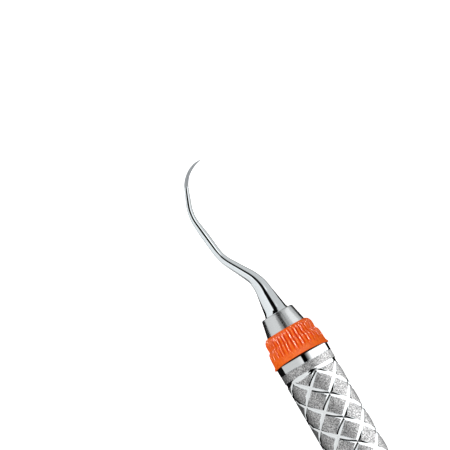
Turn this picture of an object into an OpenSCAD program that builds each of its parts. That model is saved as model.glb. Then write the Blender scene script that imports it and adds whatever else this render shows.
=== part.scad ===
// Double-ended dental explorer: a hollow round handle, a nose cone pressed
// into each end, a bent and tapered working end in each nose cone, and a
// ribbed colour ring seated on each cone.
// Millimetres. +X runs along the handle towards the front end, +Z is up, and
// the origin is on the handle's axis at the middle of its length. Both
// working ends bend in the XY plane, and the rear end is the front end turned
// half a turn about Z.

/* [Handle tube] */
// Outside diameter of the handle
handle_d = 9.5; // [9:0.1:10]
// Wall thickness of the handle tube
handle_wall = 0.85; // [0.7:0.05:1]
// Length of the handle tube
tube_length = 103.6; // [90:0.4:120]
// Distance from each end of the tube to its ring groove
groove_inset = 1.8; // [1.4:0.1:4]
// Width of the ring groove
groove_w = 0.76; // [0.5:0.02:1]
// Depth of the ring groove
groove_depth = 0.15; // [0.05:0.01:0.3]

/* [Nose cone] */
// Length of the spigot that is pressed into the tube
spigot_length = 8; // [5:0.5:12]
// Length of the collar between the tube and the colour ring
collar_length = 1.4; // [0.8:0.1:2]
// Diameter of the land that the colour ring sits on
seat_d = 7.2; // [7:0.05:7.4]
// Length of that land
seat_length = 4.7; // [4:0.1:5.2]
// Length of the cone in front of the land
cone_length = 3.5; // [3:0.1:6]
// Half angle of the cone
cone_angle = 12; // [6:1:14]
// Size of the rounded edge at the cone's front face
cone_edge = 0.28; // [0.1:0.02:0.5]
// Depth of the bore that holds the working end
bore_depth = 12; // [8:0.5:14]

/* [Working end] */
// Diameter of the tang inside the nose cone
tang_d = 3.2; // [2.5:0.1:3.6]
// Straight stretch from the nose cone to the first bend
run_1 = 4.35; // [3.5:0.05:5]
// Length of the first bend
bend_1 = 3.7; // [3:0.05:5]
// Turn of the first bend, towards +Y
turn_1 = 29; // [20:1:32]
// Straight stretch between the first and second bends
run_2 = 3.5; // [2.5:0.05:4]
// Length of the second bend
bend_2 = 3.15; // [2.5:0.05:4]
// Turn of the second bend, back towards the axis
turn_2 = -23; // [-28:1:-18]
// Straight stretch between the second and third bends
run_3 = 5.35; // [4:0.05:6]
// Length of the third bend
bend_3 = 3.65; // [3:0.05:5]
// Turn of the third bend, across the axis
turn_3 = -28; // [-32:1:-22]
// Straight stretch between the third bend and the curved tip
run_4 = 2.6; // [1.5:0.05:3.5]
// Length of the curved tip
tip_length = 5.65; // [4.5:0.05:6.5]
// Turn of the curved tip
tip_turn = -66; // [-75:1:-50]
// Shank diameter where it leaves the nose cone
shoulder_d = 4.3; // [4:0.1:4.6]
// Shank diameter halfway along
shank_d = 1.36; // [1.2:0.02:1.6]
// Diameter at the root of the curved tip
tip_root_d = 0.72; // [0.5:0.02:0.8]
// Diameter at the very point
point_d = 0.14; // [0.06:0.02:0.2]

/* [Colour ring] */
// Length of the ring
ring_length = 5.4; // [5:0.05:6]
// Diameter of the thin lip at the ring's rear edge
lip_d = 10.12; // [9.9:0.02:10.4]
// Length of that lip
lip_length = 0.45; // [0.4:0.05:0.8]
// How far the lip reaches back over the collar
lip_overlap = 0.18; // [0:0.02:0.3]
// How far the ring's rear edge is cut back above and below
rim_cut = 0.42; // [0.1:0.02:0.6]
// Diameter over the ribs of the rear tier
rear_tier_d = 9.6; // [9.5:0.02:9.8]
// Diameter over the ribs of the front tier
front_tier_d = 8.7; // [8.5:0.02:8.9]
// Distance from the ring's rear face to the step between the tiers
step_inset = 3.3; // [3:0.05:3.6]
// Height of the ribs
rib_height = 0.13; // [0.05:0.01:0.2]
// Number of ribs around each tier
rib_count = 46; // [24:2:60]
// Radius of the ring's rounded front edge
front_edge = 0.55; // [0.3:0.05:0.6]
// Gap between the ring and the nose cone
ring_gap = 0.04; // [0.02:0.01:0.08]

/* [Hidden] */
$fn = 96;

handle_r = handle_d / 2;
bore_r = handle_r - handle_wall;
tube_end = tube_length / 2;
groove_x = tube_end - groove_inset;
groove_round = (groove_w * groove_w / 4 + groove_depth * groove_depth) / (2 * groove_depth);

spigot_x = tube_end - spigot_length;
lead_in = 0.3;
collar_x = tube_end + collar_length;
seat_r = seat_d / 2;
seat_x = collar_x + seat_length;
nose_x = seat_x + cone_length;
nose_r = seat_r - cone_length * tan(cone_angle);
tang_r = tang_d / 2;
tang_length = bore_depth - 0.5;

// The working end's centreline: each entry is [length, turn in degrees].
route = [[run_1, 0], [bend_1, turn_1], [run_2, 0], [bend_2, turn_2],
    [run_3, 0], [bend_3, turn_3], [run_4, 0], [tip_length, tip_turn]];
tip_start = run_1 + bend_1 + run_2 + bend_2 + run_3 + bend_3 + run_4;
route_length = tip_start + tip_length;
// The shank's radius at distances along that line.
shank_radii = [[0, shoulder_d / 2], [0.45, 1.96], [1.4, 1.82], [4, 1.39], [7, 1.04],
    [10, 0.86], [13.5, shank_d / 2], [18, shank_d / 2], [21.5, 0.52], [24.5, 0.46],
    [tip_start + 1, tip_root_d / 2], [tip_start + 4, tip_root_d / 3], [route_length, point_d / 2]];
route_steps = 72;
shank_sides = 16;
// How far the tang runs on into the root of the shank, so that they are one solid.
tang_overlap = 0.4;

ring_x = collar_x - lip_overlap;
ring_shoulder_x = collar_x + 0.02;
lip_bore_r = handle_r + ring_gap;
ring_bore_r = seat_r + ring_gap;
ring_front_x = ring_x + ring_length;
ring_mouth_r = ring_bore_r - (ring_front_x - seat_x) * tan(cone_angle);
lip_r = lip_d / 2;
lip_fillet = 0.3;
skirt_r = rear_tier_d / 2 + 0.04;
step_x = ring_x + step_inset;
step_slope = 0.3;
// Where the rear ribs start, and the length over which the skirt sinks below them.
rib_x = ring_x + 1.3;
rib_fade = 0.3;
// The body under each tier lies a little below the valleys between its ribs.
body_sink = rib_height + 0.05;
rear_body_r = rear_tier_d / 2 - body_sink;
front_body_r = front_tier_d / 2 - body_sink;

// Turns a shape that was drawn along +Z so that it lies along +X.
module along_x() {
    rotate([0, 90, 0]) children();
}

// Puts the front end's parts on the rear end.
module at_rear() {
    rotate([0, 0, 180]) children();
}

module handle_tube() {
    color("silver") along_x() difference() {
        cylinder(h = tube_length, r = handle_r, center = true);
        cylinder(h = tube_length + 2, r = bore_r, center = true);
        for (side = [-1, 1]) translate([0, 0, side * groove_x])
            rotate_extrude()
                translate([handle_r - groove_depth + groove_round, 0]) circle(r = groove_round);
    }
}

module nose_cone() {
    along_x() difference() {
        rotate_extrude() polygon([
            [0, spigot_x],
            [bore_r - lead_in, spigot_x],
            [bore_r, spigot_x + lead_in],
            [bore_r, tube_end],
            [handle_r, tube_end],
            [handle_r, collar_x],
            [seat_r, collar_x],
            [seat_r, seat_x],
            [nose_r + cone_edge * tan(cone_angle), nose_x - cone_edge],
            [nose_r - cone_edge, nose_x],
            [0, nose_x]]);
        translate([0, 0, nose_x - bore_depth]) cylinder(h = bore_depth + 1, r = tang_r);
    }
}

module front_nose_cone() {
    color("lightgray") nose_cone();
}

module rear_nose_cone() {
    color("lightgray") at_rear() nose_cone();
}

// Where a stretch that starts at place p = [x, y, heading] has got to.
function ahead(p, run, turn) =
    turn == 0
    ? [p[0] + run * cos(p[2]), p[1] + run * sin(p[2]), p[2]]
    : let (r = run / (turn * PI / 180))
        [p[0] + r * (sin(p[2] + turn) - sin(p[2])),
         p[1] + r * (cos(p[2]) - cos(p[2] + turn)),
         p[2] + turn];

// The place a distance s along the route, counted from its stretch i.
function place(s, i = 0, p = [0, 0, 0]) =
    s <= route[i][0] || i == len(route) - 1
    ? ahead(p, s, route[i][1] * s / route[i][0])
    : place(s - route[i][0], i + 1, ahead(p, route[i][0], route[i][1]));

// One ring of points around the route at distance s.
function section(s) =
    let (p = place(s), r = lookup(s, shank_radii))
    [for (k = [0 : shank_sides - 1]) let (a = 360 * k / shank_sides)
        [nose_x + p[0] - r * cos(a) * sin(p[2]), p[1] + r * cos(a) * cos(p[2]), r * sin(a)]];

module swept_shank() {
    points = [for (i = [0 : route_steps]) each section(route_length * i / route_steps)];
    sides = [for (i = [0 : route_steps - 1]) for (k = [0 : shank_sides - 1])
        let (a = i * shank_sides + k, b = i * shank_sides + (k + 1) % shank_sides)
        each [[a, a + shank_sides, b + shank_sides], [a, b + shank_sides, b]]];
    root_cap = [for (k = [0 : shank_sides - 1]) k];
    point_cap = [for (k = [shank_sides - 1 : -1 : 0]) route_steps * shank_sides + k];
    polyhedron(points = points, faces = concat([root_cap], sides, [point_cap]));
}

module working_end() {
    swept_shank();
    along_x() translate([0, 0, nose_x - tang_length])
        cylinder(h = tang_length + tang_overlap, r = tang_r);
}

module front_working_end() {
    color("gainsboro") working_end();
}

module rear_working_end() {
    color("gainsboro") at_rear() working_end();
}

// A ribbed sleeve: a prism whose outline has one tooth for each rib.
module ribs(start, end, crest_r) {
    translate([0, 0, start]) linear_extrude(end - start)
        polygon([for (k = [0 : 2 * rib_count - 1])
            let (r = k % 2 == 0 ? crest_r : crest_r - rib_height, a = 180 * k / rib_count)
            [r * cos(a), r * sin(a)]]);
}

// The ring's outside, without its ribs.
module ring_body() {
    edge_r = front_body_r - front_edge;
    edge_x = ring_front_x - front_edge;
    rotate_extrude() polygon(concat(
        [[0, ring_x],
        [lip_r, ring_x],
        [lip_r, ring_x + lip_length],
        [skirt_r, ring_x + lip_length + lip_fillet],
        [rear_body_r, rib_x + rib_fade],
        [rear_body_r, step_x - step_slope],
        [front_body_r, step_x]],
        [for (a = [0 : 15 : 90]) [edge_r + front_edge * cos(a), edge_x + front_edge * sin(a)]],
        [[0, ring_front_x]]));
}

// The hole that takes the collar's edge and seats on the nose cone's land and on the start of its cone.
module ring_bore() {
    rotate_extrude() polygon([
        [0, ring_x - 1],
        [lip_bore_r, ring_x - 1],
        [lip_bore_r, ring_shoulder_x],
        [ring_bore_r, ring_shoulder_x],
        [ring_bore_r, seat_x],
        [ring_mouth_r, ring_front_x],
        [ring_mouth_r, ring_front_x + 1],
        [0, ring_front_x + 1]]);
}

// Two wedges that slope the rear edge forward, so that the lip is left only at the ring's two sides.
module rim_wedges() {
    reach = 1.2;
    for (turn = [0, 180])
        rotate([turn, 0, 0]) rotate([90, 0, 0]) linear_extrude(4 * lip_r, center = true)
            polygon([[ring_x - 1, 0],
                [ring_x, 0],
                [ring_x + rim_cut * reach, lip_r * reach],
                [ring_x - 1, lip_r * reach]]);
}

module grip_ring() {
    difference() {
        along_x() difference() {
            union() {
                ring_body();
                ribs(rib_x, step_x - step_slope / 2, rear_tier_d / 2);
                ribs(step_x - 2 * step_slope, ring_front_x - front_edge + 0.1, front_tier_d / 2);
            }
            ring_bore();
        }
        rim_wedges();
    }
}

module front_grip_ring() {
    color("orangered") grip_ring();
}

module rear_grip_ring() {
    color("orangered") at_rear() grip_ring();
}

handle_tube();
front_nose_cone();
rear_nose_cone();
front_working_end();
rear_working_end();
front_grip_ring();
rear_grip_ring();
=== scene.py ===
"""A double-ended dental explorer: diamond-grip handle, nose cones, colour rings and curved working ends."""
import math

import bmesh
import bpy
import numpy as np
from mathutils import Matrix, Vector


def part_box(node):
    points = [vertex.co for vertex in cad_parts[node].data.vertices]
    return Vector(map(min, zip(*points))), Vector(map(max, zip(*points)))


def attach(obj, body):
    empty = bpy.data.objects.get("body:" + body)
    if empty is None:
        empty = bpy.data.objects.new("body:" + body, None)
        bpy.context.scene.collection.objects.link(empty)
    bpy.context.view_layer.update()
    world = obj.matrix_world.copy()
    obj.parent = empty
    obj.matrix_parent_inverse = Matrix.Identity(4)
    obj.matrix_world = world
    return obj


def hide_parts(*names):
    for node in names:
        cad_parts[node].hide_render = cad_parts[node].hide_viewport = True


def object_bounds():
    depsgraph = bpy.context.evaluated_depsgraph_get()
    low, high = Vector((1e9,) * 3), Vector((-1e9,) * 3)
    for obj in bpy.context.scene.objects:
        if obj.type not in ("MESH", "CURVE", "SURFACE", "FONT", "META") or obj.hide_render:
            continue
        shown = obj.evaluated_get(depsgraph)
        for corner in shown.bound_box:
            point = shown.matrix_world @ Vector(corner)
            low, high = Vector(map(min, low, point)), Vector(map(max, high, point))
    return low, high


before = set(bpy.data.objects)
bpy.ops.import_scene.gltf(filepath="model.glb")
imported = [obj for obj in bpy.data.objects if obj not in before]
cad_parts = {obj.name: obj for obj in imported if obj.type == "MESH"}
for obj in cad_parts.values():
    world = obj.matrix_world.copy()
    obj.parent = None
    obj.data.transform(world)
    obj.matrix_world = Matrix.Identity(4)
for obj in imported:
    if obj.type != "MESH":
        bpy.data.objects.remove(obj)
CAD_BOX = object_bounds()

MM = 0.001

# Places along the handle, in millimetres, read from the CAD model.
TUBE_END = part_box("handle_tube")[1].x / MM
HANDLE_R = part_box("handle_tube")[1].z / MM
RING_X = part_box("front_grip_ring")[0].x / MM
LIP_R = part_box("front_grip_ring")[1].z / MM
SPIGOT_X, NOSE_X = (c.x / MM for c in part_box("front_nose_cone"))
TANG_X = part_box("front_working_end")[0].x / MM
REST_Z = CAD_BOX[0].z / MM

# Handle: two families of spiral grooves cross between two ring grooves.
GROOVE_X = TUBE_END - 1.8
WALL = 0.85
BORE_R = HANDLE_R - WALL
PAD_R = HANDLE_R - 0.03
STARTS = 6
COLUMN = math.radians(360 / STARTS)
PERIODS = 22
PERIOD = 2 * GROOVE_X / PERIODS
CROSSING_ANGLE = math.radians(11)
GROOVE_HALF = 0.37
GROOVE_WALL_W = 0.06
GROOVE_FLOOR_HALF = GROOVE_HALF - GROOVE_WALL_W
GROOVE_WALL = 0.09
GROOVE_EDGE_ANGLE = math.radians(33)
RING_GROOVE_HALF = 0.38
RING_GROOVE_DEPTH = 0.15

# Nose cone: a collar, the land that the ring sits on, and the cone. Its bore takes the tang.
COLLAR_X = TUBE_END + 1.4
SEAT_R = 3.6
SEAT_X = 57.9
CONE_ANGLE = 12
CONE_TAN = math.tan(math.radians(CONE_ANGLE))
TANG_R = 1.6
BORE_DEPTH = 12.0

# Working end: (length, turn in degrees) of each stretch of its centreline, from the nose cone out.
ROUTE = [
    (4.35, 0), (3.7, 29), (3.5, 0), (3.15, -23), (5.35, 0), (3.65, -28), (2.6, 0), (5.64, -66),
]
ROUTE_LENGTH = sum(run for run, turn in ROUTE)
TIP_START = ROUTE_LENGTH - ROUTE[-1][0]
# The shank's radius at distances along that line.
SHANK_RADII = [
    (0, 2.15), (0.45, 1.96), (1.4, 1.82), (4, 1.39), (7, 1.04), (10, 0.86), (13.5, 0.68), (18, 0.68),
    (21.5, 0.52), (24.5, 0.46), (TIP_START + 1, 0.355), (TIP_START + 4, 0.237), (ROUTE_LENGTH, 0.065),
]

# Colour ring.
RIBS = 46
RING_GAP = 0.04
RIM_CUT = 0.42
STEP_BOW = 0.3
# Its outline: distance from its rear edge and radius, over a rib and in the valley beside it.
RING_OUTLINE = [
    ((0.0, 4.98), (0.0, 4.98)), ((0.04, 5.04), (0.04, 5.04)), ((0.3, 5.04), (0.3, 5.04)),
    ((0.4, 4.98), (0.4, 4.98)), ((0.5, 4.9), (0.5, 4.9)), ((0.7, 4.85), (0.7, 4.85)),
    ((1.0, 4.83), (1.0, 4.83)), ((1.3, 4.82), (1.3, 4.79)), ((1.65, 4.82), (1.6, 4.68)),
    ((2.1, 4.79), (2.0, 4.62)), ((2.45, 4.75), (2.4, 4.56)), ((2.75, 4.68), (2.65, 4.46)),
    ((2.93, 4.6), (2.8, 4.36)), ((3.05, 4.48), (2.9, 4.25)), ((3.14, 4.4), (3.0, 4.18)),
    ((3.3, 4.37), (3.2, 4.15)), ((3.7, 4.38), (3.7, 4.15)), ((4.3, 4.38), (4.3, 4.15)),
    ((4.55, 4.33), (4.6, 4.13)), ((4.8, 4.24), (4.85, 4.09)), ((5.0, 4.12), (5.02, 4.0)),
    ((5.17, 3.98), (5.18, 3.88)), ((5.3, 3.8), (5.3, 3.74)), ((5.37, 3.6), (5.37, 3.56)),
]


# ---------------------------------------------------------------- meshes

def make_piece(name, points, faces, materials, sharp, face_material=None):
    """A mesh object from points in millimetres. Turns of more than sharp degrees are shaded as corners."""
    mesh = bpy.data.meshes.new(name)
    mesh.from_pydata([tuple(MM * c for c in p) for p in points], [], faces)
    for m in materials:
        mesh.materials.append(m)
    if face_material is not None:
        mesh.polygons.foreach_set("material_index", face_material)
    mesh.polygons.foreach_set("use_smooth", [True] * len(mesh.polygons))
    obj = bpy.data.objects.new(name, mesh)
    bpy.context.scene.collection.objects.link(obj)
    mark_sharp(mesh, sharp)
    return obj


def mark_sharp(mesh, degrees):
    """Edges that turn by more than this many degrees are shaded as corners."""
    bm = bmesh.new()
    bm.from_mesh(mesh)
    bmesh.ops.recalc_face_normals(bm, faces=bm.faces)
    limit = math.radians(degrees)
    for e in bm.edges:
        if len(e.link_faces) == 2 and e.calc_face_angle(0) > limit:
            e.smooth = False
    bm.to_mesh(mesh)
    bm.free()


def turned(points, half_turn):
    """The same points, or for the rear end half a turn about Z."""
    return [(-x, -y, z) for x, y, z in points] if half_turn else list(points)


def around(x, r, angle):
    """A point at distance r from the axis. Angle 0 is up, and it grows towards -Y."""
    return (x, -r * math.sin(angle), r * math.cos(angle))


def revolve(profile, sides):
    """Points and faces of an (x, r) profile turned about the axis. An r of 0 at an end closes to a pole."""
    points, faces, rings = [], [], []
    for x, r in profile:
        start = len(points)
        if r == 0:
            points.append((x, 0.0, 0.0))
            rings.append([start] * sides)
        else:
            points += [around(x, r, 2 * math.pi * k / sides) for k in range(sides)]
            rings.append(list(range(start, start + sides)))
    for a, b in zip(rings, rings[1:]):
        for k in range(sides):
            n = (k + 1) % sides
            face = [a[k], a[n], b[n], b[k]]
            faces.append(tuple(dict.fromkeys(face)))
    return points, faces


def add_attribute(obj, name, values):
    """A number for each point of the piece, which its material reads by name."""
    layer = obj.data.attributes.new(name, "FLOAT", "POINT")
    layer.data.foreach_set("value", values)


def arc_profile(x, r, radius, start, end, steps):
    """(x, r) points on an arc about (x, r), from angle start to end in degrees, where 0 points outwards."""
    turn = [math.radians(start + (end - start) * k / steps) for k in range(steps + 1)]
    return [(x + radius * math.sin(a), r + radius * math.cos(a)) for a in turn]


# ---------------------------------------------------------------- handle

PAD_TURN = PAD_R * COLUMN
GROOVE_SPACING = 1 / math.hypot(1 / PERIOD, 1 / PAD_TURN)
EDGE = GROOVE_HALF / GROOVE_SPACING
FLOOR_EDGE = GROOVE_FLOOR_HALF / GROOVE_SPACING
FLOOR_ROUND = GROOVE_FLOOR_HALF / math.sin(GROOVE_EDGE_ANGLE)
RING_GROOVE_ROUND = (RING_GROOVE_HALF**2 + RING_GROOVE_DEPTH**2) / (2 * RING_GROOVE_DEPTH)


def groove_depth(phase):
    """Depth of a spiral groove where phase counts grooves, so a whole number is a groove's middle."""
    off = abs(phase - round(phase)) * GROOVE_SPACING
    if off >= GROOVE_HALF:
        return 0.0
    if off >= GROOVE_FLOOR_HALF:
        return GROOVE_WALL * (GROOVE_HALF - off) / GROOVE_WALL_W
    return GROOVE_WALL + math.sqrt(FLOOR_ROUND**2 - off**2) - FLOOR_ROUND * math.cos(GROOVE_EDGE_ANGLE)


def ring_groove_depth(x):
    """Depth of the round groove near each end of the tube."""
    off = abs(abs(x) - GROOVE_X)
    if off >= RING_GROOVE_HALF:
        return 0.0
    return math.sqrt(RING_GROOVE_ROUND**2 - off**2) - (RING_GROOVE_ROUND - RING_GROOVE_DEPTH)


def phases(x, angle):
    """Where a place lies between the grooves of each family. A whole number is a groove's middle."""
    along, turn = (x - GROOVE_X) / PERIOD, (angle - CROSSING_ANGLE) / COLUMN
    return along + turn, along - turn


def handle_radius(x, angle):
    """Radius of the tube's skin. The spiral grooves fade out inside the ring grooves."""
    p, q = phases(x, angle)
    spiral = max(groove_depth(p), groove_depth(q))
    fade = min(1.0, (GROOVE_X - abs(x)) / RING_GROOVE_HALF)
    if fade < 1:
        spiral = min(spiral, RING_GROOVE_DEPTH + fade * (spiral - RING_GROOVE_DEPTH))
    return PAD_R - max(spiral, ring_groove_depth(x))


def grip_grid():
    """(x, angle) places and faces of a grid whose lines run along both families of grooves."""
    wall_top, pad_lines = EDGE + 0.012, [0.27, 0.42]
    half = [0.0, FLOOR_EDGE / 3, FLOOR_EDGE * 2 / 3, FLOOR_EDGE, EDGE, wall_top] + pad_lines
    steps = half + [1 - t for t in reversed(half[1:])]
    n = len(steps)
    lookup, places, faces = {}, [], []

    def phase(i):
        return i // n + steps[i % n]

    def vertex(i, j):
        wraps = (i - j) // (2 * STARTS * n)
        i, j = i - wraps * STARTS * n, j + wraps * STARTS * n
        if (i, j) not in lookup:
            lookup[(i, j)] = len(places)
            x = GROOVE_X + PERIOD * (phase(i) + phase(j)) / 2
            places.append((x, CROSSING_ANGLE + COLUMN * (phase(i) - phase(j)) / 2))
        return lookup[(i, j)]

    low = -2 * PERIODS * n
    for i in range(low, (STARTS + 1) * n):
        for j in range(low, (STARTS + 1) * n):
            if not (0 <= i - j < 2 * STARTS * n and low - 1 <= i + j <= -1):
                continue
            corners = [(i, j), (i + 1, j), (i + 1, j + 1), (i, j + 1)]
            if i + j == -1:
                corners.remove((i + 1, j + 1))
            if i + j == low - 1:
                corners.remove((i, j))
            faces.append([vertex(*c) for c in corners])
    return places, faces


def cut_near_rings(places, faces):
    """The grid as a plain cylinder, with more lines around it where the ring grooves begin."""
    tolerance = 1e-5
    bm = bmesh.new()
    verts = [bm.verts.new(around(x, PAD_R, a)) for x, a in places]
    for f in faces:
        bm.faces.new([verts[k] for k in f])
    for side in (-1, 1):
        for share in (1.0, 0.66, 0.33):
            place = (side * (GROOVE_X - share * RING_GROOVE_HALF), 0, 0)
            everything = bm.verts[:] + bm.edges[:] + bm.faces[:]
            bmesh.ops.bisect_plane(
                bm, geom=everything, dist=tolerance, plane_co=place, plane_no=(1, 0, 0))
    points = [tuple(v.co) for v in bm.verts]
    bm.verts.index_update()
    faces = [[v.index for v in f.verts] for f in bm.faces]
    bm.free()
    return points, faces


def make_handle(polished, blasted):
    """The tube's skin is a grid that follows both families of grooves, so every pad has clean edges."""
    points, faces = cut_near_rings(*grip_grid())
    angles = [math.atan2(-y, z) for x, y, z in points]
    tolerance, rims = 1e-4, {}
    for side in (-1, 1):
        rim = [k for k, p in enumerate(points) if abs(p[0] - side * GROOVE_X) < tolerance]
        rims[side] = sorted(rim, key=lambda k: angles[k])
    points = [around(p[0], handle_radius(p[0], a), a) for p, a in zip(points, angles)]

    # Beyond each ring groove: the rest of the groove, the blasted end ring, and the tube's end face.
    chamfer, groove_lip, band_line = 0.04, 0.03, 0.7
    groove_end = GROOVE_X + RING_GROOVE_HALF
    outside = [GROOVE_X + RING_GROOVE_HALF * t for t in (0.33, 0.66, 0.9, 1.0)]
    profile = [(x, PAD_R - ring_groove_depth(x)) for x in outside]
    profile += [(groove_end + groove_lip, PAD_R), (TUBE_END - band_line, PAD_R)]
    profile += [(TUBE_END - chamfer, PAD_R)]
    profile += [(TUBE_END, PAD_R - chamfer), (TUBE_END, BORE_R)]
    ends = {}
    for side in (-1, 1):
        ring = rims[side]
        for x, r in profile:
            start = len(points)
            points += [around(side * x, r, angles[k]) for k in rims[side]]
            new = list(range(start, start + len(ring)))
            faces += [[ring[k - 1], ring[k], new[k], new[k - 1]] for k in range(len(ring))]
            ring = new
        ends[side] = ring
    faces += [[ends[-1][k - 1], ends[-1][k], ends[1][k], ends[1][k - 1]] for k in range(len(ends[1]))]

    # The grooves and the chamfers are polished (0), and the rest is blasted (1).
    kinds = []
    for f in faces:
        x, y, z = (sum(points[k][c] for k in f) / len(f) for c in range(3))
        p, q = phases(x, math.atan2(-y, z))
        near = min(abs(p - round(p)), abs(q - round(q)))
        grooved = abs(x) < GROOVE_X and near < EDGE
        ringed = abs(abs(x) - GROOVE_X) < RING_GROOVE_HALF
        kinds.append(0 if grooved or ringed or abs(x) > TUBE_END - chamfer else 1)
    return make_piece("handle", points, faces, [polished, blasted], 28, kinds)


# ---------------------------------------------------------------- nose cones

def make_nose_cone(name, mirror, brushed, rear):
    """A spigot inside the tube, the collar, the land and the cone, with a blind bore for the tang."""
    chamfer, lead_in, fillet, rim, sides = 0.05, 0.3, 0.1, 0.26, 160
    spigot_r, bore_r = BORE_R - 0.01, TANG_R + 0.01
    nose_r = SEAT_R - (NOSE_X - SEAT_X) * CONE_TAN
    cone_run = NOSE_X - rim - SEAT_X
    profile = [(SPIGOT_X, 0), (SPIGOT_X, BORE_R - lead_in), (SPIGOT_X + lead_in, spigot_r)]
    profile += [(TUBE_END - 0.001, spigot_r), (TUBE_END, HANDLE_R - chamfer)]
    profile += [(TUBE_END + chamfer, HANDLE_R)]
    profile += [(COLLAR_X - chamfer, HANDLE_R), (COLLAR_X, HANDLE_R - chamfer), (COLLAR_X, SEAT_R + fillet)]
    profile += [(COLLAR_X + fillet, SEAT_R), (SEAT_X, SEAT_R)]
    profile += [(SEAT_X + t * cone_run, SEAT_R - t * cone_run * CONE_TAN) for t in (0.05, 0.3, 0.6, 0.97)]
    profile += arc_profile(NOSE_X - rim, nose_r - rim * 0.8, rim, CONE_ANGLE, 90, 8)
    profile += [(NOSE_X, bore_r), (NOSE_X - BORE_DEPTH, bore_r), (NOSE_X - BORE_DEPTH, 0)]
    points, faces = revolve(profile, sides)
    kinds = [0 if min(points[k][0] for k in f) < SEAT_X else 1 for f in faces]
    return make_piece(name, turned(points, rear), faces, [mirror, brushed], 28, kinds)


# ---------------------------------------------------------------- working ends

def route_points(step=0.05):
    """Distance, place and heading along the working end's centreline, with each bend eased in and out."""
    count = int(round(ROUTE_LENGTH / step))
    s = np.linspace(0, ROUTE_LENGTH, count + 1)
    ends = np.cumsum([0] + [run for run, turn in ROUTE])
    headings = np.cumsum([0] + [turn for run, turn in ROUTE])
    heading = eased(np.radians(np.interp(s, ends, headings)), 12)
    mid = (heading[1:] + heading[:-1]) / 2
    ds = ROUTE_LENGTH / count
    x = NOSE_X + np.concatenate([[0], np.cumsum(np.cos(mid))]) * ds
    y = np.concatenate([[0], np.cumsum(np.sin(mid))]) * ds
    return s, x, y, heading


def eased(values, reach):
    """A running mean that leaves the two ends where they are."""
    padded = np.concatenate([np.full(reach, values[0]), values, 2 * values[-1] - values[-2:-reach - 2:-1]])
    kernel = np.hanning(2 * reach + 3)[1:-1]
    return np.convolve(padded, kernel / kernel.sum(), mode="valid")


def make_working_end(name, material, rear):
    """A round section swept along the route, and the tang behind it.

    The attribute "along" is the distance along the route, which tells the satin tip from the polished rest.
    """
    sides, satin_slant, chamfer = 48, 0.35, 0.2
    s, x, y, heading = route_points()
    stations = np.array(SHANK_RADII)
    radius = eased(np.interp(s, stations[:, 0], stations[:, 1]), 8)
    radius[0] = stations[0, 1]
    keep = list(range(0, len(s), 2))
    if keep[-1] != len(s) - 1:
        keep.append(len(s) - 1)
    tang = [(TANG_X, 0.0), (TANG_X, TANG_R - chamfer), (TANG_X + chamfer, TANG_R), (NOSE_X - 0.001, TANG_R)]
    points, faces = revolve(tang, sides)
    last = list(range(len(points) - sides, len(points)))
    along = [0.0] * len(points)
    for k in keep:
        start = len(points)
        for n in range(sides):
            a = 2 * math.pi * n / sides
            side, up = -radius[k] * math.sin(a), radius[k] * math.cos(a)
            points.append((x[k] - side * math.sin(heading[k]), y[k] + side * math.cos(heading[k]), up))
            along.append(s[k] + satin_slant * side)
        new = list(range(start, start + sides))
        faces += [(last[n - 1], last[n], new[n], new[n - 1]) for n in range(sides)]
        last = new
    faces.append(tuple(last))
    obj = make_piece(name, turned(points, rear), faces, [material], 50)
    add_attribute(obj, "along", along)
    return obj


# ---------------------------------------------------------------- colour rings

def smooth_line(points, steps):
    """A curve through the points, with so many steps between each two."""
    pts = np.array(points, float)
    pts = np.vstack([2 * pts[0] - pts[1], pts, 2 * pts[-1] - pts[-2]])
    out = []
    for a, b, c, d in zip(pts, pts[1:], pts[2:], pts[3:]):
        for k in range(steps):
            t = k / steps
            out.append(0.5 * (2 * b + (c - a) * t + (2 * a - 5 * b + 4 * c - d) * t * t
                              + (3 * b - a - 3 * c + d) * t ** 3))
    out.append(pts[-2])
    return np.array(out)


def rib_pattern():
    """(angle, rise, narrow) points around the ring. Narrow flat ribs and broad round ones take turns."""
    pitch = 2 * math.pi / RIBS
    # Half width, steps, squareness, and whether it is narrow.
    narrow_rib, broad_rib = (0.27 * pitch, 5, 6.0, 1), (0.41 * pitch, 7, 2.2, 0)
    valley, valley_dip = 0.16 * pitch, -0.3
    points = []
    for rib in range(RIBS):
        half, steps, square, narrow = broad_rib if rib % 2 else narrow_rib
        for k in range(-steps, steps + 1):
            across = math.sin(math.pi / 2 * k / steps)
            rise = (1 - abs(across) ** square) ** (1 / square)
            points.append((rib * pitch + half * across, rise, narrow))
        points.append((rib * pitch + half + valley, valley_dip, 0))
    return points


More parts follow.
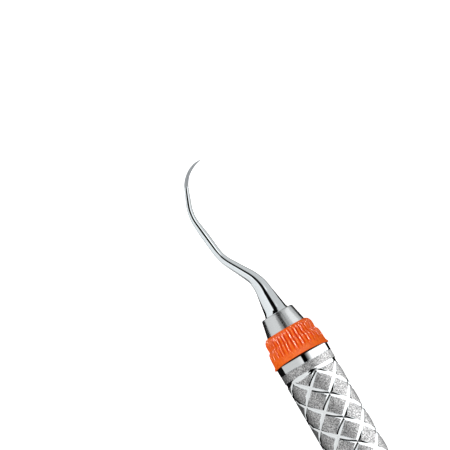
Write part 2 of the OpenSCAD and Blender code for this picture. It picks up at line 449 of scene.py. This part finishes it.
def make_ring(name, material, rear):
    """The rear edge is cut back above and below, so the lip is left at the sides. The step bows forward.

    The attribute "tier" is the distance from the rear edge, and "shine" is how glossy a place is.
    The attribute for painted shade is how far down a place lies between the ribs. It is 0.2 in the bore,
    painted a deeper red, and 1 in the gap over the collar, painted near black as shadow.
    """
    crest = smooth_line([c for c, v in RING_OUTLINE], 3)
    valley = smooth_line([v for c, v in RING_OUTLINE], 3)
    pattern = rib_pattern()

    # 1 above and below the axis, and 0 at the sides, with a soft turn there.
    upright = [(math.sqrt(math.cos(a) ** 2 + 0.01) - 0.1) / 0.905 for a, rise, narrow in pattern]

    # Distances from the rear edge: the skirt's end, the step between the tiers, and the ribs' end.
    skirt_end, step_start, step_end, ribs_end = 1.3, 2.6, 3.3, 5.1
    rib_shine = [1.45, 1.8], [0.0, 0.4]
    dome_places = [1.5, 2.6, 2.8, 3.12, 3.2, 4.4, 4.7, 5.1, 5.2]
    dome_shine = dome_places, [0.0, 0.1, 1.0, 1.0, 0.0, 0.05, 1.0, 1.0, 0.5]
    points, rows, tier, shine, shade_depth = [], [], [], [], []
    for (cx, cr), (vx, vr) in zip(crest, valley):
        rows.append(list(range(len(points), len(points) + len(pattern))))
        for (a, rise, narrow), up in zip(pattern, upright):
            x, r = vx + (cx - vx) * rise, vr + (cr - vr) * rise
            tier.append(x)
            shine.append(max(0.0, rise) * float(np.interp(x, *(rib_shine if narrow else dome_shine))))
            # How far down between the ribs, which the material paints as shade.
            shade_depth.append((1 - rise) * max(0.0, cr - vr))
            if x < skirt_end:
                x = RIM_CUT * up + x * (1 - RIM_CUT * up / skirt_end)
                r = float(np.interp(x, crest[:, 0], crest[:, 1])) + min(0.0, r - cr)
            bow = np.interp(x, [skirt_end, step_start, step_end, ribs_end], [0, 1, 1, 0])
            points.append(around(RING_X + x + STEP_BOW * up * bow, r, a))

    # The bore, from the front. Each row: x, radius, change of radius above and below, and depth for painted
    # shade.
    front = RING_X + crest[-1, 0]
    mouth_r = SEAT_R + RING_GAP - (front - SEAT_X) * CONE_TAN
    shoulder, bore_r, lip_bore_r = COLLAR_X + 0.02, SEAT_R + RING_GAP, HANDLE_R + RING_GAP
    bore = [(front, mouth_r + 0.06, 0, 0.2), (front - 0.05, mouth_r + 0.01, 0, 0.2)]
    bore += [(SEAT_X, bore_r, 0, 0.2), (shoulder, bore_r, 0, 0.2)]
    # These two rows face the gap over the collar; their 1.0 asks for a near-black painted shadow.
    bore += [(shoulder, lip_bore_r, -0.5, 1.0), (RING_X, lip_bore_r + 0.02, 0, 1.0)]
    for row_x, row_r, change, row_shade_depth in bore:
        rows.append(list(range(len(points), len(points) + len(pattern))))
        for (a, rise, narrow), up in zip(pattern, upright):
            x = RING_X + RIM_CUT * up * row_r / LIP_R if row_x == RING_X else row_x
            points.append(around(x, row_r + change * up, a))
            tier.append(0.0)
            shine.append(0.0)
            shade_depth.append(row_shade_depth)
    rows.append(rows[0])
    faces = [(a[k - 1], a[k], b[k], b[k - 1]) for a, b in zip(rows, rows[1:]) for k in range(len(pattern))]
    obj = make_piece(name, turned(points, rear), faces, [material], 70)
    add_attribute(obj, "tier", tier)
    add_attribute(obj, "shine", shine)
    add_attribute(obj, "shade_depth", shade_depth)
    return obj


# ---------------------------------------------------------------- materials

def new_material(name):
    """A material with its nodes, its links and its shader."""
    m = bpy.data.materials.new(name)
    m.use_nodes = True
    nodes, links = m.node_tree.nodes, m.node_tree.links
    return m, nodes, links, nodes["Principled BSDF"]


def noise(nodes, links, scale, detail=2.0, stretch=(1, 1, 1)):
    """Fine noise fixed to the piece. Scale is per metre."""
    place = nodes.new("ShaderNodeTexCoord")
    mapping = nodes.new("ShaderNodeMapping")
    mapping.inputs["Scale"].default_value = stretch
    tex = nodes.new("ShaderNodeTexNoise")
    tex.inputs["Scale"].default_value = scale
    tex.inputs["Detail"].default_value = detail
    links.new(place.outputs["Object"], mapping.inputs["Vector"])
    links.new(mapping.outputs["Vector"], tex.inputs["Vector"])
    return tex.outputs["Fac"]


def spread(nodes, links, value, low, high, from_low=0.3, from_high=0.7):
    """From low to high as value goes from from_low to from_high."""
    node = nodes.new("ShaderNodeMapRange")
    node.inputs["From Min"].default_value = from_low
    node.inputs["From Max"].default_value = from_high
    node.inputs["To Min"].default_value = low
    node.inputs["To Max"].default_value = high
    links.new(value, node.inputs["Value"])
    return node.outputs["Result"]


def ramp(nodes, links, value, stops):
    """Colour by value, from (value, colour) stops."""
    node = nodes.new("ShaderNodeValToRGB")
    band = node.color_ramp
    while len(band.elements) < len(stops):
        band.elements.new(0.5)
    for e, (at, colour) in zip(band.elements, stops):
        e.position = at
        e.color = (*colour, 1)
    links.new(value, node.inputs["Fac"])
    return node.outputs["Color"]


def bump(nodes, links, height, distance, strength, shader):
    """Relief on a shader. Distance is in metres."""
    node = nodes.new("ShaderNodeBump")
    node.inputs["Distance"].default_value = distance
    node.inputs["Strength"].default_value = strength
    links.new(height, node.inputs["Height"])
    links.new(node.outputs["Normal"], shader.inputs["Normal"])


def attribute(nodes, name):
    """A number that the piece's own points carry."""
    node = nodes.new("ShaderNodeAttribute")
    node.attribute_name = name
    return node.outputs["Fac"]


def feed(links, socket, value):
    """Sets a socket from a number, a colour or another node's output."""
    if isinstance(value, tuple):
        socket.default_value = (*value, 1)
    elif isinstance(value, (int, float)):
        socket.default_value = value
    else:
        links.new(value, socket)


def calculate(nodes, links, operation, *values):
    """A math node. Each value is a number or another node's output."""
    node = nodes.new("ShaderNodeMath")
    node.operation = operation
    for socket, value in zip(node.inputs, values):
        feed(links, socket, value)
    return node.outputs["Value"]


def blend(nodes, links, kind, share, first, second):
    """From first to second as share goes from 0 to 1. Kind is FLOAT or RGBA."""
    node = nodes.new("ShaderNodeMix")
    node.data_type = kind
    feed(links, node.inputs["Factor"], share)
    feed(links, node.inputs["A"], first)
    feed(links, node.inputs["B"], second)
    return node.outputs["Result"]


def polished_steel(name, low_rough, high_rough, tone):
    """Bright steel with fine turning marks around it."""
    m, nodes, links, shader = new_material(name)
    shader.inputs["Metallic"].default_value = 1.0
    fine = noise(nodes, links, 900, 3, (6, 1, 1))
    darker, lighter = (tone * 0.94, tone * 0.97, tone * 0.98), (tone * 0.97, tone, tone * 1.01)
    colour = ramp(nodes, links, fine, [(0.3, darker), (0.7, lighter)])
    links.new(colour, shader.inputs["Base Color"])
    links.new(spread(nodes, links, fine, low_rough, high_rough), shader.inputs["Roughness"])
    bump(nodes, links, noise(nodes, links, 2500, 2, (8, 1, 1)), 0.000004, 0.25, shader)
    return m


def blasted_steel():
    """Grainy matt steel on the grip's pads."""
    m, nodes, links, shader = new_material("blasted_steel")
    shader.inputs["Metallic"].default_value = 1.0
    grain = noise(nodes, links, 5600, 2)
    patches = noise(nodes, links, 900, 2)
    tones = [(0.36, (0.16, 0.16, 0.165)), (0.5, (0.38, 0.38, 0.38)), (0.64, (0.72, 0.72, 0.72))]
    links.new(ramp(nodes, links, grain, tones), shader.inputs["Base Color"])
    links.new(spread(nodes, links, patches, 0.42, 0.55), shader.inputs["Roughness"])
    bump(nodes, links, grain, 0.00006, 0.8, shader)
    return m


def shank_steel():
    """Polished steel that turns to grey satin where the curved tip starts."""
    m, nodes, links, shader = new_material("shank_steel")
    satin = spread(nodes, links, attribute(nodes, "along"), 0, 1, TIP_START + 0.3, TIP_START + 0.5)
    fine = noise(nodes, links, 3000, 2, (3, 1, 1))
    polished_tone = ramp(nodes, links, fine, [(0.3, (0.76, 0.8, 0.82)), (0.7, (0.81, 0.86, 0.88))])
    satin_tone = ramp(nodes, links, fine, [(0.3, (0.45, 0.48, 0.5)), (0.7, (0.54, 0.57, 0.59))])
    tone = blend(nodes, links, "RGBA", satin, polished_tone, satin_tone)
    links.new(tone, shader.inputs["Base Color"])
    links.new(spread(nodes, links, satin, 0.03, 0.6, 0, 1), shader.inputs["Roughness"])
    links.new(spread(nodes, links, satin, 1.0, 0.25, 0, 1), shader.inputs["Metallic"])
    bump(nodes, links, fine, 0.000004, 0.2, shader)
    return m


def orange_silicone():
    """Glossy on the narrow ribs and the domed ends, duller elsewhere, with painted shade: a deeper red in
    the valleys and the bore, and near black in the gap over the collar.
    """
    m, nodes, links, shader = new_material("orange_silicone")
    mottle = noise(nodes, links, 2200, 3)
    shade_depth, tier, shine = (attribute(nodes, name) for name in ("shade_depth", "tier", "shine"))
    colour = ramp(nodes, links, mottle, [(0.35, (0.82, 0.105, 0.004)), (0.65, (0.9, 0.15, 0.008))])
    # Painted shade: a deeper red down between the ribs and in the bore, and a near-black painted shadow in
    # the gap over the collar.
    valley_shade = spread(nodes, links, shade_depth, 0, 1, 0.05, 0.2)
    gap_shadow = spread(nodes, links, shade_depth, 0, 1, 0.4, 0.8)
    colour = blend(nodes, links, "RGBA", valley_shade, colour, (0.8, 0.06, 0.006))
    colour = blend(nodes, links, "RGBA", gap_shadow, colour, (0.03, 0.006, 0.004))
    links.new(colour, shader.inputs["Base Color"])

    # The skirt behind the ribs is matt, with a rough skin.
    skirt_end = (1.2, 1.7)
    roughness = spread(nodes, links, tier, 0.4, 0.28, *skirt_end)
    specular = spread(nodes, links, tier, 0.04, 0.0, *skirt_end)
    some_shine = spread(nodes, links, shine, 0, 1, 0, 0.4)
    full_shine = spread(nodes, links, shine, 0, 1, 0, 1)
    links.new(blend(nodes, links, "FLOAT", some_shine, roughness, 0.2), shader.inputs["Roughness"])
    links.new(blend(nodes, links, "FLOAT", full_shine, specular, 0.5), shader.inputs["Specular IOR Level"])
    rough_skin = spread(nodes, links, tier, 1.0, 0.0, *skirt_end)
    height = calculate(nodes, links, "MULTIPLY", noise(nodes, links, 4000, 2), rough_skin)
    bump(nodes, links, height, 0.00004, 1.0, shader)
    return m


# ---------------------------------------------------------------- studio

def make_camera():
    """A long lens above the handle, square to its front end, which points up and to the left."""
    view_width, lens, sensor = 0.0745, 300.0, 36.0
    lean, roll = math.radians(4), math.radians(30.11)
    target = Vector((0.0783, 0.0001, 0))
    back = Vector((-math.sin(lean), 0, math.cos(lean)))
    along = Vector((math.cos(lean), 0, math.sin(lean)))
    across = Vector((0, -1, 0))
    up = along * math.cos(roll) + across * math.sin(roll)
    right = across * math.cos(roll) - along * math.sin(roll)
    data = bpy.data.cameras.new("camera")
    data.lens = lens
    data.sensor_width = sensor
    data.clip_start, data.clip_end = 0.01, 20
    cam = bpy.data.objects.new("camera", data)
    place = target + back * view_width * lens / sensor
    cam.matrix_world = Matrix.Translation(place) @ Matrix((right, up, back)).transposed().to_4x4()
    bpy.context.scene.collection.objects.link(cam)
    bpy.context.scene.camera = cam


def around_ramp(nodes, links, angle, stops):
    """Brightness by angle about the handle, from (degrees, brightness) stops. Up is 0, and -Y is 90."""
    turn = spread(nodes, links, angle, 0, 1, -math.pi, math.pi)
    return ramp(nodes, links, turn, [((deg + 180) / 360, (v, v, v)) for deg, v in stops])


def make_tent():
    """A light tent as the world: a bright side, a softer side, and a dark slot overhead."""
    world = bpy.data.worlds.new("light_tent")
    bpy.context.scene.world = world
    world.use_nodes = True
    nodes, links = world.node_tree.nodes, world.node_tree.links
    direction = nodes.new("ShaderNodeTexCoord")
    split = nodes.new("ShaderNodeSeparateXYZ")
    links.new(direction.outputs["Generated"], split.inputs["Vector"])
    sideways = calculate(nodes, links, "MULTIPLY", split.outputs["Y"], -1.0)
    angle = calculate(nodes, links, "ARCTAN2", sideways, split.outputs["Z"])
    lean = calculate(nodes, links, "ABSOLUTE", split.outputs["X"])

    below = [(-180, 0.14), (-134, 0.14), (-126, 0.45)]
    right = [(124, 0.34), (134, 0.12), (180, 0.12)]
    slot = [(-28, 0.47), (-5, 0.62), (-3.5, 0.0), (12, 0.0), (22, 0.22)]
    bright_side = [(36, 0.9), (42, 0.9), (52, 0.34)]
    wide_slot = [(-60, 0.5), (-14, 0.52), (-11, 0.0), (20, 0.0), (36, 0.34)]
    level = around_ramp(nodes, links, angle, below + slot + bright_side + right)
    leaning = around_ramp(nodes, links, angle, below + wide_slot + right)
    toward_end = spread(nodes, links, lean, 0, 1, 0.15, 0.35)
    background = nodes["Background"]
    background.inputs["Strength"].default_value = 2.0
    links.new(blend(nodes, links, "RGBA", toward_end, level, leaning), background.inputs["Color"])


def set_material(name, colour, roughness, strength):
    """A uniform material for the set, with some light of its own, and its shader."""
    m, _, _, shader = new_material(name)
    shader.inputs["Base Color"].default_value = (*colour, 1)
    shader.inputs["Roughness"].default_value = roughness
    shader.inputs["Emission Color"].default_value = (1, 1, 1, 1)
    shader.inputs["Emission Strength"].default_value = strength
    return m, shader


def make_card(name, corners, colour, strength):
    """A studio card from corners in millimetres. Only reflections show it."""
    mesh = bpy.data.meshes.new(name)
    mesh.from_pydata([tuple(MM * c for c in p) for p in corners], [], [tuple(range(len(corners)))])
    card = bpy.data.objects.new(name, mesh)
    bpy.context.scene.collection.objects.link(card)
    m, shader = set_material(name, colour, 1.0, strength)
    shader.inputs["Specular IOR Level"].default_value = 0.0
    mesh.materials.append(m)
    card.visible_camera = False
    card.visible_diffuse = False
    card.visible_shadow = False


BLACK = (0.0, 0.0, 0.0)
NEAR_BLACK = (0.01, 0.01, 0.01)


def side_card(name, y, outline, strength):
    """A bright card that stands along the handle, from (x, z) corners."""
    make_card(name, [(x, y, z) for x, z in outline], BLACK, strength)


def flat_card(name, z, outline, colour, strength):
    """A level card, from (x, y) corners."""
    make_card(name, [(x, y, z) for x, y in outline], colour, strength)


def make_cards():
    """Cards for the highlights and the dark lines.

    A bright card stands along the handle's -Y side, and a small one beside the cone. Two over the cone
    edge the slot that it mirrors. A dark board lies under the handle, and a dark flag over its bent end.
    """
    half = 66
    side_card("bright_card", -20.0, [(-half, -14), (58, -14), (half, 6), (half, 31), (-half, 31)], 1.9)
    side_card("cone_card", -5.5, [(57.5, 1.9), (63, 1.9), (63, 6), (57.5, 6)], 1.25)
    left_shade = [(60, 0.7), (63.4, 0.7), (63.4, 2.5), (60, 2.5)]
    right_shade = [(60, -1.6), (63.4, -1.6), (63.4, -3.1), (60, -3.1)]
    flat_card("cone_shade_left", 8.0, left_shade, BLACK, 0.42)
    flat_card("cone_shade_right", 8.0, right_shade, BLACK, 0.5)
    board = [(-half, -11.6), (half, -11.6), (half, 33), (-half, 33)]
    flat_card("dark_board", REST_Z - 0.01, board, NEAR_BLACK, 0.0)
    flag = [(half, -12), (75.5, -13), (78, -7), (94, -4), (101, 2), (101, 30), (92, 26), (84, 16.5)]
    flag += [(76.5, 13), (74, 4.5), (70.5, 1.7), (half, 1.6)]
    flat_card("dark_flag", 25.0, flag, NEAR_BLACK, 0.0)


def make_ring_lights(rings):
    """Lights for the soft rings alone: a broad one overhead, and strips along the handle for highlights."""
    only = bpy.data.collections.new("ring_lights_reach")
    for ring in rings:
        only.objects.link(ring)
    far, broad, long, thin = 0.4, 0.5, 0.6, 0.012
    fill_ahead, strip_ahead = 0.08, 0.22
    # Each strip: degrees about the handle, watts.
    strips = [(1, 8), (32, 6.2), (-31, 3), (62.6, 2.5), (-62.6, 3.5), (94, 2), (-94, 4)]
    lights = [("ring_fill", 10, 0.85, broad, broad, False)]
    lights += [(f"ring_strip_{n}", *strip, long, thin, True) for n, strip in enumerate(strips)]
    for name, degrees, watts, length, width, glossy in lights:
        data = bpy.data.lights.new(name, "AREA")
        data.shape = "RECTANGLE"
        data.size, data.size_y = length, width
        data.energy = watts
        light = bpy.data.objects.new(name, data)
        turn = math.radians(degrees)
        ahead = strip_ahead if glossy else fill_ahead
        place = Vector((RING_X * MM + ahead, -far * math.sin(turn), far * math.cos(turn)))
        light.matrix_world = Matrix.Translation(place) @ Matrix.Rotation(turn, 4, "X")
        light.visible_camera = False
        light.visible_glossy = glossy
        light.visible_diffuse = not glossy
        bpy.context.scene.collection.objects.link(light)
        light.light_linking.receiver_collection = only


def make_floor():
    """A plain pale floor just under the lowest point."""
    half, gap = 3.0, 0.00002
    z = REST_Z * MM - gap
    corners = [(-half, -half, z), (half, -half, z), (half, half, z), (-half, half, z)]
    mesh = bpy.data.meshes.new("floor")
    mesh.from_pydata(corners, [], [(0, 1, 2, 3)])
    floor = bpy.data.objects.new("floor", mesh)
    bpy.context.scene.collection.objects.link(floor)
    m, _ = set_material("floor", (0.9, 0.9, 0.9), 0.9, 0.9)
    mesh.materials.append(m)

    # Reflections and soft light come from the tent alone.
    floor.visible_glossy = False
    floor.visible_diffuse = False


# ---------------------------------------------------------------- assembly

def main():
    """The camera, the set, the looks and the seven pieces."""
    view = bpy.context.scene.view_settings
    view.view_transform = "Standard"
    make_camera()
    make_tent()
    make_cards()
    make_floor()
    groove_steel = polished_steel("groove_steel", 0.03, 0.07, 0.8)
    collar_steel = polished_steel("polished_steel", 0.03, 0.06, 0.64)
    nose_steel = polished_steel("turned_steel", 0.2, 0.26, 0.64)
    blasted = blasted_steel()
    mirror = shank_steel()
    silicone = orange_silicone()

    handle = make_handle(groove_steel, blasted)
    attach(handle, "handle")
    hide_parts("handle_tube")
    rings = []
    for end, rear in (("front", False), ("rear", True)):
        nose = make_nose_cone(end + "_nose", collar_steel, nose_steel, rear)
        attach(nose, "handle")
        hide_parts(end + "_nose_cone")
        shank = make_working_end(end + "_shank", mirror, rear)
        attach(shank, "handle")
        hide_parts(end + "_working_end")
        ring = make_ring(end + "_colour_ring", silicone, rear)
        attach(ring, end + "_ring")
        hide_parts(end + "_grip_ring")
        rings.append(ring)
    make_ring_lights(rings)


main()
